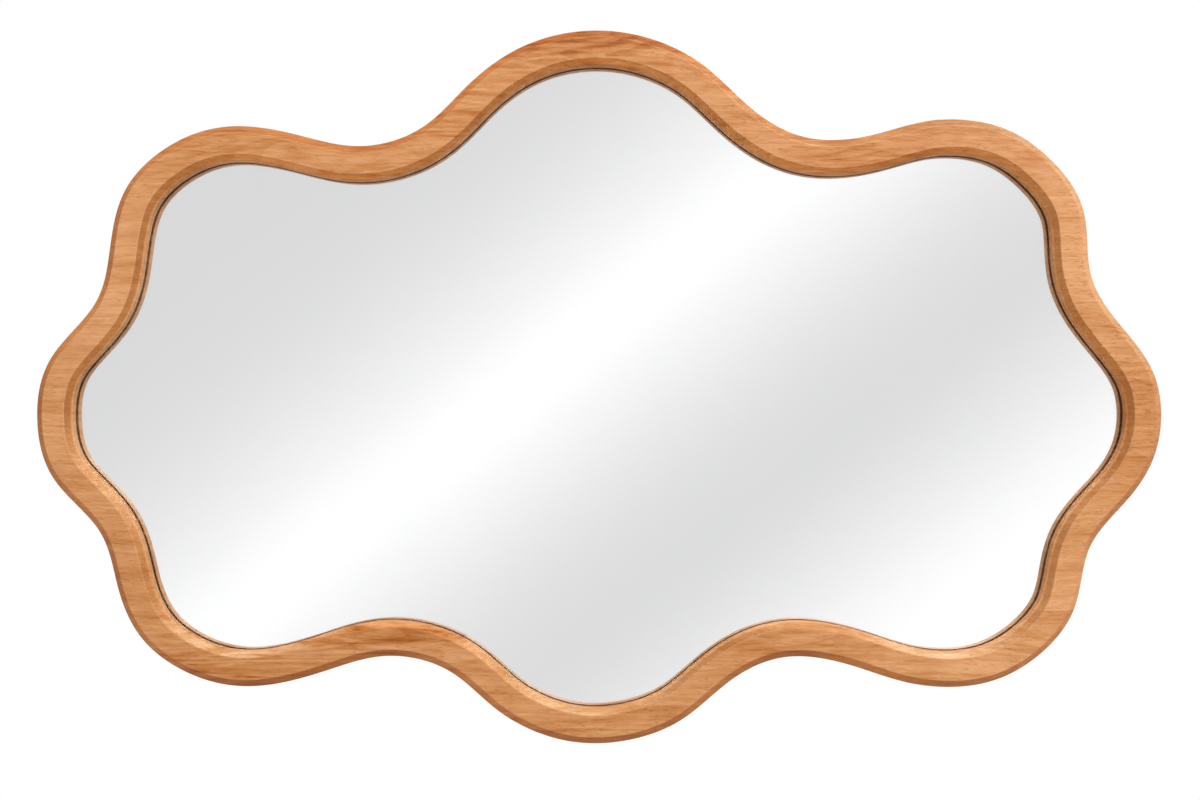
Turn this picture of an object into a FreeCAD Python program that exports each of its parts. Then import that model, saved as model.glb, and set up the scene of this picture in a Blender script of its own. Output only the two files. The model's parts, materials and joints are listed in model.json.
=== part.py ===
import FreeCAD, Part
import math
import os
import Sketcher

# Irregular shaped wall mirror: wooden frame glued up from horizontal boards,
# silvered glass in a rabbet, backing board held by turn buttons, two D-ring
# hangers and four wall bumpers.
#
# Frame of the part: +X to the viewer's right, +Z up, the mirror looks along -Y.
# The origin lies on the wall plane, midway between the two D-ring pivots.
# Inside this file every piece is drawn about the outline's own centre with the
# back face of the wood at y = 0; the placements then move it to the origin.

V = FreeCAD.Vector
doc = FreeCAD.newDocument("irregular_mirror")

# ---------------------------------------------------------------- dimensions
sheet = doc.addObject("Spreadsheet::Sheet", "Dims")
DIMS = [
    ("frame_depth", 28.0, "thickness of the boards"),
    ("frame_width", 29.8, "outer edge to inner lip, seen from the front"),
    ("edge_chamfer", 6.8, "45 degree chamfer round the outer front edge"),
    ("bevel_width", 4.5, "inner bevel, across the face"),
    ("bevel_depth", 8.2, "inner bevel, into the depth"),
    ("rabbet_width", 8.0, "ledge behind the lip"),
    ("rabbet_depth", 11.3, "from the back face"),
    ("glass_margin", 6.0, "glass hidden behind the lip"),
    ("glass_depth", 4.0, "glass thickness"),
    ("film_margin", 5.0, "film past the lip line"),
    ("film_depth", 0.2, "safety film"),
    ("foam_depth", 2.0, "foam strips"),
    ("foam_long", 160.0, "foam strip length"),
    ("foam_wide", 19.0, "foam strip width"),
    ("foam_pitch_x", 270.0, "foam strip grid"),
    ("foam_pitch_z", 150.0, "foam strip grid"),
    ("board_margin", 7.0, "backing board past the lip line"),
    ("board_depth", 5.0, "backing board"),
    ("joint_z1", 165.0, "glue joints, height over the outline's centre"),
    ("joint_z2", 88.0, ""),
    ("joint_z3", 5.0, ""),
    ("joint_z4", -74.0, ""),
    ("joint_z5", -135.0, ""),
    ("joint_z6", -191.0, ""),
    ("tenon_wide", 12.0, "loose tenon, along the joint"),
    ("tenon_thick", 4.0, ""),
    ("tenon_long", 16.0, "across the joint"),
    ("tenon_gap", 0.1, "glue gap round a tenon"),
    ("spacer_long", 12.0, "glass edge spacer"),
    ("spacer_thick", 1.6, ""),
    ("spacer_deep", 3.8, ""),
    ("button_big", 6.0, "turn button, radius round the screw"),
    ("button_tip", 4.0, "radius of the tip"),
    ("button_reach", 19.0, "screw to tip centre"),
    ("button_thick", 1.2, ""),
    ("button_gap", 0.3, "button stands off the wood"),
    ("button_hole", 1.85, "radius"),
    ("button_inset", 13.2, "screw from the frame's outer edge"),
    ("small_shank", 1.75, "turn button screw radius"),
    ("small_core", 1.3, ""),
    ("small_head", 3.4, ""),
    ("small_head_high", 2.0, ""),
    ("small_long", 11.5, "under the head"),
    ("large_shank", 2.0, "hanger screw radius"),
    ("large_core", 1.5, ""),
    ("large_head", 3.7, ""),
    ("large_head_high", 2.2, ""),
    ("large_long", 15.0, "under the head"),
    ("hanger_x", 406.5, "D-ring pivot, from the centre line"),
    ("hanger_z", 146.0, "D-ring pivot, over the outline's centre"),
    ("strap_wide", 11.0, ""),
    ("strap_thick", 1.2, ""),
    ("strap_long", 40.0, "pivot to lower end"),
    ("strap_hole", 2.15, "radius"),
    ("strap_hole_1", 20.5, "pivot to upper screw"),
    ("strap_hole_2", 33.5, "pivot to lower screw"),
    ("ring_wire", 1.3, "D-ring wire radius"),
    ("ring_play", 0.08, "radial play in the strap's loop"),
    ("ring_half", 8.3, "half width between wire centres"),
    ("ring_corner", 2.4, "corner radius"),
    ("ring_arm", 5.0, "pivot to the centre of the bow"),
    ("ring_lean", 4.0, "degrees, hanging ring leans off the strap"),
    ("bumper_high", 6.0, "wall bumper, also the gap to the wall"),
    ("bumper_foot", 6.0, "radius on the wood"),
    ("bumper_face", 4.2, "radius of the flat end"),
    ("bumper_inset", 11.6, "bumper from the frame's outer edge"),
]
for row, (alias, value, note) in enumerate(DIMS, start=2):
    sheet.set("A%d" % row, alias)
    sheet.set("B%d" % row, repr(value))
    sheet.setAlias("B%d" % row, alias)
    if note:
        sheet.set("C%d" % row, note)

# Control polygon of the outer outline (uniform closed cubic), outline centre
# as zero, x to the right and z up, in millimetres. Eight lobes, not symmetric.
OUTLINE = [
    (174.0, 208.9), (127.4, 238.5), (91.2, 279.8), (39.1, 303.4),
    (-15.2, 308.4), (-69.9, 293.9), (-114.2, 260.3), (-148.5, 217.8),
    (-206.7, 201.2), (-257.5, 217.0), (-313.8, 227.9), (-365.1, 213.5),
    (-411.9, 173.2), (-419.9, 117.5), (-425.9, 68.4), (-477.0, 27.4),
    (-485.1, -27.4), (-474.1, -82.6), (-421.6, -120.4), (-415.0, -172.1),
    (-394.7, -222.2), (-341.3, -254.3), (-289.4, -259.8), (-233.9, -244.3),
    (-184.2, -225.6), (-124.5, -239.1), (-90.2, -280.1), (-36.9, -305.4),
    (15.7, -307.7), (72.3, -290.6), (109.9, -250.0), (159.2, -225.8),
    (218.0, -237.6), (265.3, -257.3), (325.8, -259.4), (372.4, -238.6),
    (414.5, -193.5), (413.3, -134.9), (457.2, -96.5), (483.9, -52.8),
    (483.2, 11.4), (447.8, 51.5), (415.0, 94.1), (423.0, 154.5),
    (384.9, 201.5), (342.8, 228.4), (281.0, 232.2), (233.3, 212.9),
]
for row, (px, pz) in enumerate(OUTLINE, start=2):
    sheet.set("E%d" % row, repr(px))
    sheet.set("F%d" % row, repr(pz))

# Places along the outline, given by a nearby point (x, z).
BUTTON_AT = [(-1, 306), (301, 229), (483, -24), (298, -257),
             (-2, -305), (-303, -256), (-483, -24), (-308, 223)]
BUMPER_AT = [(-372, 190), (369, 203), (382, -217), (-385, -217)]
SPACER_AT = [(-180, 204), (176, 208), (418, 100), (418, -150),
             (143, -236), (-148, -235), (-417, -150), (-417, 110)]
for row, (px, pz) in enumerate(BUTTON_AT + BUMPER_AT + SPACER_AT, start=2):
    sheet.set("H%d" % row, repr(float(px)))
    sheet.set("I%d" % row, repr(float(pz)))
doc.recompute()


def dim(alias):
    return float(sheet.get(alias))


def column_pair(col_x, col_z, first, count):
    return [(float(sheet.get("%s%d" % (col_x, r))), float(sheet.get("%s%d" % (col_z, r))))
            for r in range(first, first + count)]


# ------------------------------------------------------------- outline curves
poles = column_pair("E", "F", 2, len(OUTLINE))
n_poles = len(poles)
outer = Part.BSplineCurve()
outer.buildFromPolesMultsKnots([V(x, z, 0) for x, z in poles], [1] * (n_poles + 1),
                               [float(k) for k in range(n_poles + 1)], True, 3)


def station(u):
    """Point, unit tangent and inward normal of the outer outline (x, z, 0)."""
    p = outer.value(u)
    d = outer.tangent(u)[0]
    d.normalize()
    n = V(-d.y, d.x, 0)
    return p, d, n


SAMPLES = 96


def inset_points(distance):
    """Points along the outline at a fixed distance inside its outer edge."""
    points = []
    for k in range(SAMPLES):
        p, d, n = station(n_poles * k / float(SAMPLES))
        points.append(p + n * distance)
    return points


def closed_curve(points):
    c = Part.BSplineCurve()
    c.interpolate(Points=points, PeriodicFlag=True,
                  Parameters=[float(k) for k in range(len(points) + 1)])
    return c


def inset_curve(distance):
    """Closed curve that runs inside the outer outline at a fixed distance."""
    return closed_curve(inset_points(distance))


def nearest(x, z):
    return station(outer.parameter(V(x, z, 0)))


# ---------------------------------------------------------- document helpers
def new_body(label):
    body = doc.addObject("PartDesign::Body", label)
    body.Label = label
    return body


def new_sketch(body, role, name, offset=None):
    sk = body.newObject("Sketcher::SketchObject", name)
    plane = [f for f in body.Origin.OriginFeatures if f.Role == role][0]
    sk.AttachmentSupport = [(plane, "")]
    sk.MapMode = "FlatFace"
    if offset:
        sk.setExpression("AttachmentOffset.Base.z", offset)
    return sk


def add_circle(sk, cx, cz, radius_expr, x_expr=None, z_expr=None):
    i = sk.addGeometry(Part.Circle(V(cx, cz, 0), V(0, 0, 1), 1.0), False)
    c = sk.addConstraint(Sketcher.Constraint("Radius", i, 1.0))
    sk.setExpression("Constraints[%d]" % c, radius_expr)
    c = sk.addConstraint(Sketcher.Constraint("DistanceX", -1, 1, i, 3, cx))
    if x_expr:
        sk.setExpression("Constraints[%d]" % c, x_expr)
    c = sk.addConstraint(Sketcher.Constraint("DistanceY", -1, 1, i, 3, cz))
    if z_expr:
        sk.setExpression("Constraints[%d]" % c, z_expr)
    return i


def add_polygon(sk, pts):
    for a, b in zip(pts, pts[1:] + pts[:1]):
        sk.addGeometry(Part.LineSegment(V(a[0], a[1], 0), V(b[0], b[1], 0)), False)


def pad(body, sk, length, reverse=False):
    f = body.newObject("PartDesign::Pad", "Pad")
    f.Profile = sk
    f.setExpression("Length", length)
    f.Reversed = reverse
    body.Tip = f
    return f


def pocket(body, sk, length=None, reverse=False):
    before = body.Shape.Volume
    f = body.newObject("PartDesign::Pocket", "Pocket")
    f.Profile = sk
    if length is None:
        f.Type = "ThroughAll"
    else:
        f.setExpression("Length", length)
    f.Reversed = reverse
    body.Tip = f
    doc.recompute()
    if body.Shape.Volume > before - 1e-3:
        raise RuntimeError("pocket cut nothing in " + body.Label)
    return f


def set_place(obj, base, rotation=None, exprs=None):
    obj.Placement = FreeCAD.Placement(base, rotation or FreeCAD.Rotation())
    for axis, text in (exprs or {}).items():
        obj.setExpression("Placement.Base." + axis, text)


# Everything drawn about the outline's centre moves down by the hanger height
# and forward by the gap to the wall.
SHIFT = {"y": "-Dims.bumper_high", "z": "-Dims.hanger_z"}
shift = V(0, -dim("bumper_high"), -dim("hanger_z"))

# -------------------------------------------------------------- frame blank
# The moulding's section, walked round the outline: (inset from the outer edge,
# depth in y). Sloping and upright bands are ruled surfaces between two closed
# curves, level bands are flat faces between them.
deep = dim("frame_depth")
section = [
    (0.0, 0.0),
    (0.0, -(deep - dim("edge_chamfer"))),
    (dim("edge_chamfer"), -deep),
    (dim("frame_width") - dim("bevel_width"), -deep),
    (dim("frame_width"), -(deep - dim("bevel_depth"))),
    (dim("frame_width"), -dim("rabbet_depth")),
    (dim("frame_width") - dim("rabbet_width"), -dim("rabbet_depth")),
    (dim("frame_width") - dim("rabbet_width"), 0.0),
]
loops = []
for inset, y in section:
    loops.append(closed_curve([V(q.x, y, q.y) for q in inset_points(inset)]))
faces = []
for k in range(len(loops)):
    a, b = loops[k], loops[(k + 1) % len(loops)]
    (inset_a, ya), (inset_b, yb) = section[k], section[(k + 1) % len(loops)]
    if abs(ya - yb) < 1e-9:
        pair = [Part.Wire([a.toShape()]), Part.Wire([b.toShape()])]
        if inset_a > inset_b:
            pair.reverse()
        faces += Part.makeFace(pair, "Part::FaceMakerBullseye").Faces
    else:
        band = Part.BSplineSurface()
        band.buildFromPolesMultsKnots(
            [[p, q] for p, q in zip(a.getPoles(), b.getPoles())],
            a.getMultiplicities(), [2, 2], a.getKnots(), [0.0, 1.0], True, False, 3, 1)
        faces.append(band.toShape())
shell = Part.makeShell(faces)
shell.sewShape()
solid = Part.makeSolid(shell if shell.ShapeType == "Shell" else shell.Shells[0])
if solid.Volume < 0:
    solid.reverse()
if not solid.isValid() or not shell.isClosed():
    raise RuntimeError("the frame blank is not a closed solid")
blank = doc.addObject("Part::Feature", "frame_blank")
blank.Label = "frame_blank"
blank.Shape = solid
doc.recompute()

# ------------------------------------------------- screw places on the frame
button_sites, bumper_sites, spacer_sites = [], [], []
sites = column_pair("H", "I", 2, len(BUTTON_AT) + len(BUMPER_AT) + len(SPACER_AT))
for k, (x, z) in enumerate(sites):
    p, d, n = nearest(x, z)
    if k < len(BUTTON_AT):
        button_sites.append((p + n * dim("button_inset"), n))
    elif k < len(BUTTON_AT) + len(BUMPER_AT):
        bumper_sites.append(p + n * dim("bumper_inset"))
    else:
        middle = dim("frame_width") - dim("rabbet_width") + 0.5 * (dim("rabbet_width") - dim("glass_margin"))
        spacer_sites.append((p + n * middle, d))
hanger_screw_sites = [V(side * dim("hanger_x"), dim("hanger_z") - dim(h), 0)
                      for side in (-1, 1) for h in ("strap_hole_1", "strap_hole_2")]

# Pilot holes for the screws, drilled from the back face.
cutters = []
for k, (p, n) in enumerate(button_sites):
    c = doc.addObject("Part::Cylinder", "button_pilot")
    c.setExpression("Radius", "Dims.small_shank + 0.02")
    c.setExpression("Height", "Dims.small_long - Dims.button_gap - Dims.button_thick + 0.6")
    c.Placement = FreeCAD.Placement(V(p.x, 0.0, p.y), FreeCAD.Rotation(V(1, 0, 0), 90))
    cutters.append(c)
for p in hanger_screw_sites:
    c = doc.addObject("Part::Cylinder", "hanger_pilot")
    c.setExpression("Radius", "Dims.large_shank + 0.02")
    c.setExpression("Height", "Dims.large_long - Dims.strap_thick + 0.6")
    c.Placement = FreeCAD.Placement(V(p.x, 0.0, p.y), FreeCAD.Rotation(V(1, 0, 0), 90))
    cutters.append(c)

# Mortises: one across each glue joint, on both sides, in the full-depth band.
joint_names = ["joint_z1", "joint_z2", "joint_z3", "joint_z4", "joint_z5", "joint_z6"]


def crossing(curve_inset, z, side):
    """x where the inset outline crosses the height z on one side."""
    best = None
    last = None
    for k in range(0, 4801):
        p, d, n = station(n_poles * k / 4800.0)
        q = p + n * curve_inset
        if last is not None and (last.y - z) * (q.y - z) <= 0 and q.x * side > 200:
            f = (z - last.y) / (q.y - last.y) if q.y != last.y else 0.0
            x = last.x + f * (q.x - last.x)
            if best is None or x * side > best * side:
                best = x
        last = q
    return best


tenon_sites = []
for name in joint_names:
    for side in (-1, 1):
        z = dim(name)
        a = crossing(0.0, z, side)
        b = crossing(dim("frame_width") - dim("rabbet_width"), z, side)
        tenon_sites.append((0.5 * (a + b), z, name))
for x, z, name in tenon_sites:
    c = doc.addObject("Part::Box", "mortise")
    c.setExpression("Length", "Dims.tenon_wide + 2 * Dims.tenon_gap")
    c.setExpression("Width", "Dims.tenon_thick + 2 * Dims.tenon_gap")
    c.setExpression("Height", "Dims.tenon_long + 1.0")
    c.setExpression("Placement.Base.z", "Dims.%s - Dims.tenon_long / 2 - 0.5" % name)
    c.setExpression("Placement.Base.y", "-Dims.frame_depth / 2 - Dims.tenon_thick / 2 - Dims.tenon_gap")
    c.Placement = FreeCAD.Placement(V(x - 0.5 * dim("tenon_wide") - dim("tenon_gap"), 0, 0), FreeCAD.Rotation())
    cutters.append(c)
doc.recompute()

# ------------------------------------------------------------------- boards
exported = []
levels = [None] + joint_names + [None]
board_list = [("frame_top_board", 0, 0), ("frame_bottom_board", 6, 0)]
for k in range(1, 6):
    board_list.append(("frame_left_board_%d" % k, k, -1))
    board_list.append(("frame_right_board_%d" % k, k, 1))
for label, k, side in board_list:
    box = doc.addObject("Part::Box", label + "_stock")
    box.Width = 60.0
    box.Length = 1200.0 if side == 0 else 600.0
    top, low = levels[k], levels[k + 1]
    if top is None:
        box.setExpression("Height", "400 - Dims.%s" % low)
        box.setExpression("Placement.Base.z", "Dims.%s" % low)
    elif low is None:
        box.setExpression("Height", "400 + Dims.%s" % top)
        box.Placement.Base = V(0, 0, -400)
    else:
        box.setExpression("Height", "Dims.%s - Dims.%s" % (top, low))
        box.setExpression("Placement.Base.z", "Dims.%s" % low)
    box.Placement.Base = V(-600.0 if side <= 0 else 0.0, -40.0, box.Placement.Base.z)
    doc.recompute()
    piece = doc.addObject("Part::Common", label + "_blank")
    piece.Base = blank
    piece.Tool = box
    doc.recompute()
    here = piece.Shape.BoundBox
    near = [c for c in cutters if c.Shape.BoundBox.intersect(here)]
    tools = doc.addObject("Part::Compound", label + "_cutters")
    tools.Links = near
    done = doc.addObject("Part::Cut", label)
    done.Base = piece
    done.Tool = tools
    done.Label = label
    set_place(done, shift, None, SHIFT)
    exported.append(done)
doc.recompute()


# -------------------------------------------------------------- flat layers
def layer(label, inset, depth_expr, back_expr):
    """Plate that follows the outline, from its back face forward."""
    body = new_body(label)
    s = new_sketch(body, "XZ_Plane", label + "_outline", back_expr)
    s.addGeometry(inset_curve(inset), False)
    pad(body, s, depth_expr)
    set_place(body, shift, None, SHIFT)
    exported.append(body)
    return body


w = dim("frame_width")
layer("mirror_glass", w - dim("glass_margin"), "Dims.glass_depth",
      "Dims.rabbet_depth - Dims.glass_depth")
layer("safety_film", w - dim("film_margin"), "Dims.film_depth",
      "Dims.rabbet_depth - Dims.glass_depth - Dims.film_depth")
layer("backing_board", w - dim("board_margin"), "Dims.board_depth",
      "Dims.rabbet_depth - Dims.glass_depth - Dims.film_depth - Dims.foam_depth - Dims.board_depth")

# -------------------------------------------- groups of identical small pieces
doc.recompute()


def group(label, shapes):
    f = doc.addObject("Part::Feature", label)
    f.Label = label
    f.Shape = Part.makeCompound(shapes)
    f.Placement = FreeCAD.Placement(shift, FreeCAD.Rotation())
    exported.append(f)
    return f


film_back = -(dim("rabbet_depth") - dim("glass_depth") - dim("film_depth"))
pads = []
for ix in (-1, 0, 1):
    for iz in (-1, 0, 1):
        pads.append(Part.makeBox(dim("foam_long"), dim("foam_depth"), dim("foam_wide"),
                                 V(ix * dim("foam_pitch_x") - dim("foam_long") / 2, film_back,
                                   iz * dim("foam_pitch_z") - dim("foam_wide") / 2)))
group("foam_pads", pads)

tenons = []
for x, z, name in tenon_sites:
    b = Part.makeBox(dim("tenon_wide"), dim("tenon_thick"), dim("tenon_long"),
                     V(x - dim("tenon_wide") / 2, -dim("frame_depth") / 2 - dim("tenon_thick") / 2,
                       z - dim("tenon_long") / 2))
    b = b.makeFillet(dim("tenon_thick") * 0.4, [e for e in b.Edges
                                               if abs(e.BoundBox.ZLength - dim("tenon_long")) < 1e-6])
    tenons.append(b)
group("loose_tenons", tenons)

spacers = []
for p, d in spacer_sites:
    b = Part.makeBox(dim("spacer_long"), dim("spacer_deep"), dim("spacer_thick"),
                     V(-dim("spacer_long") / 2, -dim("rabbet_depth") + 0.1, -dim("spacer_thick") / 2))
    b = b.makeFillet(0.4, [e for e in b.Edges if abs(e.BoundBox.YLength - dim("spacer_deep")) < 1e-6])
    turn = -math.degrees(math.atan2(d.y, d.x))
    b.rotate(V(0, 0, 0), V(0, 1, 0), turn)
    b.translate(V(p.x, 0, p.y))
    spacers.append(b)
group("glass_edge_spacers", spacers)


# ------------------------------------------------------------------- screws
def screw_master(label, shank, core, head, high, length):
    """Pan head screw on the Z axis, seat at z = 0, cross recess in the head."""
    body = new_body(label)
    s = new_sketch(body, "XZ_Plane", label + "_profile")
    a, c, hd, hh, ln = dim(shank), dim(core), dim(head), dim(high), dim(length)
    pts = [(0, hh), (hd * 0.55, hh), (hd * 0.80, hh * 0.88), (hd * 0.94, hh * 0.62),
           (hd, hh * 0.30), (hd, 0), (a, 0), (a, -1.8)]
    pitch = 1.5
    z = -1.8
    while z - pitch > -(ln - 2.2):
        pts += [(c, z - pitch * 0.35), (c, z - pitch * 0.65), (a, z - pitch)]
        z -= pitch
    pts += [(c, z - 0.4), (0, -ln)]
    add_polygon(s, pts)
    rev = body.newObject("PartDesign::Revolution", "Turned")
    rev.Profile = s
    rev.ReferenceAxis = (s, ["V_Axis"])
    rev.Angle = 360
    body.Tip = rev
    doc.recompute()
    s = new_sketch(body, "XY_Plane", label + "_recess", "Dims.%s" % high)
    r, t = hd * 0.52, 0.42
    add_polygon(s, [(r, -t), (r, t), (t, t), (t, r), (-t, r), (-t, t), (-r, t), (-r, -t),
                    (-t, -t), (-t, -r), (t, -r), (t, -t)])
    pocket(body, s, "Dims.%s * 0.6" % high)
    return body


small = screw_master("small_screw_master", "small_shank", "small_core", "small_head",
                     "small_head_high", "small_long")
large = screw_master("large_screw_master", "large_shank", "large_core", "large_head",
                     "large_head_high", "large_long")
doc.recompute()
to_wall = FreeCAD.Rotation(V(1, 0, 0), -90)


def screw_copies(master, places):
    out = []
    for x, y, z, spin in places:
        s = master.Shape.copy()
        s.Placement = FreeCAD.Placement(V(x, y, z), FreeCAD.Rotation(V(0, 1, 0), spin).multiply(to_wall))
        out.append(s)
    return out


seat_small = dim("button_gap") + dim("button_thick") + 0.05
group("turn_button_screws", screw_copies(small, [(p.x, seat_small, p.y, 23.0 * k)
                                                 for k, (p, n) in enumerate(button_sites)]))
group("hanger_screws", screw_copies(large, [(p.x, dim("strap_thick"), p.y, 31.0 * k)
                                            for k, p in enumerate(hanger_screw_sites)]))

# ------------------------------------------------------------------ bumpers
bumper = new_body("bumper_master")
s = new_sketch(bumper, "XZ_Plane", "bumper_profile")
f, e, g = dim("bumper_foot"), dim("bumper_face"), dim("bumper_high")
add_polygon(s, [(0, 0), (f, 0), (f, 1.2), (f - 0.25, 1.9), (e + 0.75, g - 0.7), (e + 0.45, g - 0.2), (e, g), (0, g)])
rev = bumper.newObject("PartDesign::Revolution", "Turned")
rev.Profile = s
rev.ReferenceAxis = (s, ["V_Axis"])
rev.Angle = 360
bumper.Tip = rev
doc.recompute()
group("wall_bumpers", screw_copies(bumper, [(p.x, 0.0, p.y, 0.0) for p in bumper_sites]))

# -------------------------------------------------------------- turn buttons
button_angles = []
for k, (p, n) in enumerate(button_sites, start=1):
    label = "turn_button_%d" % k
    body = new_body(label)
    s = new_sketch(body, "XZ_Plane", label + "_shape")
    R1, R2, L = dim("button_big"), dim("button_tip"), dim("button_reach")
    nz = -(R1 - R2) / L
    nx = math.sqrt(1 - nz * nz)
    a0 = math.atan2(nz, nx)
    big = Part.ArcOfCircle(Part.Circle(V(0, 0, 0), V(0, 0, 1), R1), a0, math.pi - a0)
    tip = Part.ArcOfCircle(Part.Circle(V(0, -L, 0), V(0, 0, 1), R2), math.pi - a0, 2 * math.pi + a0)
    s.addGeometry(big, False)
    s.addGeometry(tip, False)
    s.addGeometry(Part.LineSegment(V(nx * R1, nz * R1, 0), V(nx * R2, nz * R2 - L, 0)), False)
    s.addGeometry(Part.LineSegment(V(-nx * R1, nz * R1, 0), V(-nx * R2, nz * R2 - L, 0)), False)
    pad(body, s, "Dims.button_thick", True)
    doc.recompute()
    s = new_sketch(body, "XZ_Plane", label + "_hole")
    add_circle(s, 0, 0, "Dims.button_hole")
    pocket(body, s)
    # local -Z turns on to the inward normal
    turn = math.degrees(math.atan2(-n.x, -n.y))
    set_place(body, V(p.x, 0, p.y - dim("hanger_z")), FreeCAD.Rotation(V(0, 1, 0), turn),
              {"y": "-Dims.bumper_high + Dims.button_gap"})
    exported.append(body)

# ------------------------------------------------------------ D-ring hangers
for side, word in ((-1, "left"), (1, "right")):
    label = "hanger_strap_" + word
    body = new_body(label)
    s = new_sketch(body, "YZ_Plane", label + "_profile", "-Dims.strap_wide / 2")
    ri = dim("ring_wire") + dim("ring_play")
    t = dim("strap_thick")
    ro = ri + t
    c = V(ro, 0, 0)
    a1 = math.radians(-48)
    s.addGeometry(Part.ArcOfCircle(Part.Circle(c, V(0, 0, 1), ro), a1, math.pi), False)
    s.addGeometry(Part.ArcOfCircle(Part.Circle(c, V(0, 0, 1), ri), a1, math.pi), False)
    ln = dim("strap_long")
    s.addGeometry(Part.LineSegment(V(0, 0, 0), V(0, -ln, 0)), False)
    s.addGeometry(Part.LineSegment(V(0, -ln, 0), V(t, -ln, 0)), False)
    s.addGeometry(Part.LineSegment(V(t, -ln, 0), V(t, 0, 0)), False)
    s.addGeometry(Part.LineSegment(V(ro + ri * math.cos(a1), ri * math.sin(a1), 0),
                                   V(ro + ro * math.cos(a1), ro * math.sin(a1), 0)), False)
    first = pad(body, s, "Dims.strap_wide")
    doc.recompute()
    ends = ["Edge%d" % i for i, e in enumerate(first.Shape.Edges, start=1)
            if abs(e.BoundBox.ZMin + ln) < 1e-3 and abs(e.BoundBox.ZMax + ln) < 1e-3
            and e.BoundBox.XLength < 1e-3]
    round_end = body.newObject("PartDesign::Fillet", "RoundEnd")
    round_end.Base = (first, ends)
    round_end.Radius = 3.5
    body.Tip = round_end
    doc.recompute()
    s = new_sketch(body, "XZ_Plane", label + "_holes")
    add_circle(s, 0, -dim("strap_hole_1"), "Dims.strap_hole", None, "-Dims.strap_hole_1")
    add_circle(s, 0, -dim("strap_hole_2"), "Dims.strap_hole", None, "-Dims.strap_hole_2")
    pocket(body, s)
    set_place(body, V(side * dim("hanger_x"), 0, 0), None,
              {"x": "%d * Dims.hanger_x" % side, "y": "-Dims.bumper_high"})
    exported.append(body)

    label = "hanger_ring_" + word
    body = new_body(label)
    s = new_sketch(body, "XZ_Plane", label + "_path")
    hw, rc, arm = dim("ring_half"), dim("ring_corner"), dim("ring_arm")
    s.addGeometry(Part.LineSegment(V(0, 0, 0), V(hw - rc, 0, 0)), False)
    s.addGeometry(Part.ArcOfCircle(Part.Circle(V(hw - rc, -rc, 0), V(0, 0, 1), rc), 0, math.pi / 2), False)
    s.addGeometry(Part.LineSegment(V(hw, -rc, 0), V(hw, -arm, 0)), False)
    s.addGeometry(Part.ArcOfCircle(Part.Circle(V(0, -arm, 0), V(0, 0, 1), hw), math.pi, 2 * math.pi), False)
    s.addGeometry(Part.LineSegment(V(-hw, -arm, 0), V(-hw, -rc, 0)), False)
    s.addGeometry(Part.ArcOfCircle(Part.Circle(V(-hw + rc, -rc, 0), V(0, 0, 1), rc), math.pi / 2, math.pi), False)
    s.addGeometry(Part.LineSegment(V(-hw + rc, 0, 0), V(0, 0, 0)), False)
    sec = new_sketch(body, "YZ_Plane", label + "_wire")
    add_circle(sec, 0, 0, "Dims.ring_wire")
    bow = body.newObject("PartDesign::AdditivePipe", "Bow")
    bow.Profile = sec
    bow.Spine = s
    body.Tip = bow
    pivot_y = -dim("bumper_high") + dim("ring_wire") + dim("ring_play") + dim("strap_thick")
    set_place(body, V(side * dim("hanger_x"), pivot_y, 0), FreeCAD.Rotation(V(1, 0, 0), dim("ring_lean")),
              {"x": "%d * Dims.hanger_x" % side,
               "y": "-Dims.bumper_high + Dims.ring_wire + Dims.ring_play + Dims.strap_thick"})
    exported.append(body)

# --------------------------------------------------------- checks and export
doc.recompute()
for obj in doc.Objects:
    bad = [word for word in obj.State if word in ("Invalid", "Error")]
    if bad:
        raise RuntimeError("%s: %s" % (obj.Label, bad))
total = 0.0
for obj in exported:
    shape = obj.Shape
    if shape.isNull() or not shape.isValid() or shape.Volume <= 0:
        raise RuntimeError("bad shape: " + obj.Label)
    total += shape.Volume

os.makedirs("parts", exist_ok=True)
for obj in exported:
    obj.Shape.exportStep("parts/%s.step" % obj.Label)
for obj in exported:
    bb = obj.Shape.BoundBox
    print("%-22s solids %2d  vol %10.1f  x %8.2f %8.2f  y %7.2f %7.2f  z %8.2f %8.2f"
          % (obj.Label, len(obj.Shape.Solids), obj.Shape.Volume, bb.XMin, bb.XMax,
             bb.YMin, bb.YMax, bb.ZMin, bb.ZMax))
for k, (p, n) in enumerate(button_sites, start=1):
    print("button %d pivot %.3f %.3f inward %.4f %.4f" % (k, p.x, p.y - dim("hanger_z"), n.x, n.y))
for p in bumper_sites:
    print("bumper %.3f %.3f" % (p.x, p.y - dim("hanger_z")))
print("nodes", len(exported))
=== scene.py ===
import json
import math

import bmesh
import bpy
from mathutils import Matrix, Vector, noise


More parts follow.
